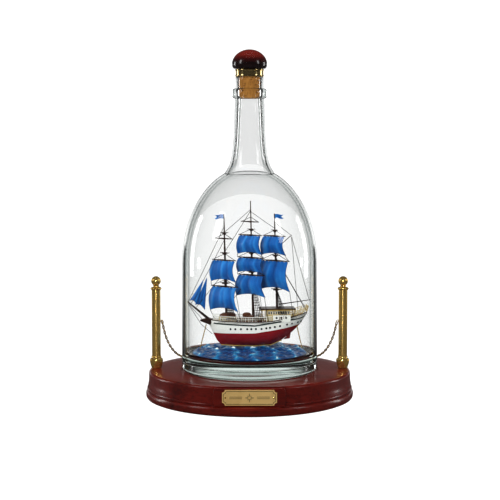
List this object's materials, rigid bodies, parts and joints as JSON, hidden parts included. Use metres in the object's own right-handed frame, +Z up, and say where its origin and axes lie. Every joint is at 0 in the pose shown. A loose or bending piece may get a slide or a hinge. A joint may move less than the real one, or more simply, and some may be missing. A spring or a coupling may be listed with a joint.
{
  "type": "ship in a bottle",
  "caption": "Square-rigged model ship under blue sail in a tall stoppered glass bottle, on a round wooden plinth with brass posts and a chain.",
  "frame": {"origin": "centre of the plinth's felt underside", "axes": "+Z up along the bottle's axis, -Y towards the plaque, -X towards the ship's bow"},
  "size_m": [0.1922, 0.1922, 0.3205],
  "materials": {
    "felt": "matte wool felt",
    "mahogany": "French-polished dark red mahogany",
    "plaque_brass": "satin brushed brass",
    "brass": "polished antique brass",
    "chain_brass": "aged brass wire",
    "cork": "natural cork",
    "oxblood_wood": "gloss lacquered oxblood",
    "bottle_glass": "clear blown glass, faint green in the thick bottom",
    "resin_sea": "cast and painted resin sea",
    "hull_red": "satin red lacquer",
    "hull_white": "satin white lacquer",
    "wale_black": "black-green lacquer",
    "deck_planks": "oiled planking",
    "gilt": "gold paint",
    "cabin_paint": "gold and cream paint",
    "dark_wood": "dark stained wood",
    "sail_cloth": "dyed blue cotton",
    "rigging": "tarred thread",
    "gilt_rope": "gold thread"
  },
  "bodies": {
    "stand": {"base_felt": "felt", "plinth": "mahogany", "name_panel": "mahogany", "plaque": "plaque_brass", "plaque_pins": "brass", "left_post": "brass", "right_post": "brass", "left_finial": "brass", "right_finial": "brass", "chain_eyes": "brass", "chain": "chain_brass"},
    "bottle": {"aft_house": "cabin_paint", "anchor_lines": "gilt_rope", "beakhead": "gilt", "boom": "dark_wood", "bottle_glass": "bottle_glass", "bowsprit": "dark_wood", "deck": "deck_planks", "deck_boats": "dark_wood", "deck_rails": "hull_white", "fore_bare_yard": "dark_wood", "fore_house": "cabin_paint", "fore_lower_sail": "sail_cloth", "fore_lower_yard": "dark_wood", "fore_mast": "dark_wood", "fore_upper_sail": "sail_cloth", "fore_upper_yard": "dark_wood", "gaff": "dark_wood", "house_roof": "dark_wood", "hull_bottom": "hull_red", "inner_jib": "sail_cloth", "keel": "gilt", "main_bare_yard": "dark_wood", "main_lower_sail": "sail_cloth", "main_lower_yard": "dark_wood", "main_mast": "dark_wood", "main_middle_sail": "sail_cloth", "main_middle_yard": "dark_wood", "main_upper_sail": "sail_cloth", "main_upper_yard": "dark_wood", "mast_tops": "dark_wood", "mizzen_lower_sail": "sail_cloth", "mizzen_lower_yard": "dark_wood", "mizzen_mast": "dark_wood", "mizzen_upper_sail": "sail_cloth", "mizzen_upper_yard": "dark_wood", "outer_jib": "sail_cloth", "pennants": "sail_cloth", "portholes": "wale_black", "quarter_boards": "hull_white", "rudder": "hull_red", "sea": "resin_sea", "shrouds": "rigging", "stays": "rigging", "stern_gallery": "gilt", "topsides": "hull_white", "wales": "wale_black"},
    "stopper": {"cork": "cork", "stopper_collar": "brass", "stopper_knob": "oxblood_wood"}
  },
  "joints": [
    {"name": "bottle_lift", "type": "slide", "parent": "stand", "child": "bottle", "axis": [0, 0, 1], "range_m": [0, 0.1]},
    {"name": "stopper_pull", "type": "slide", "parent": "bottle", "child": "stopper", "axis": [0, 0, 1], "range_m": [0, 0.03]}
  ]
}
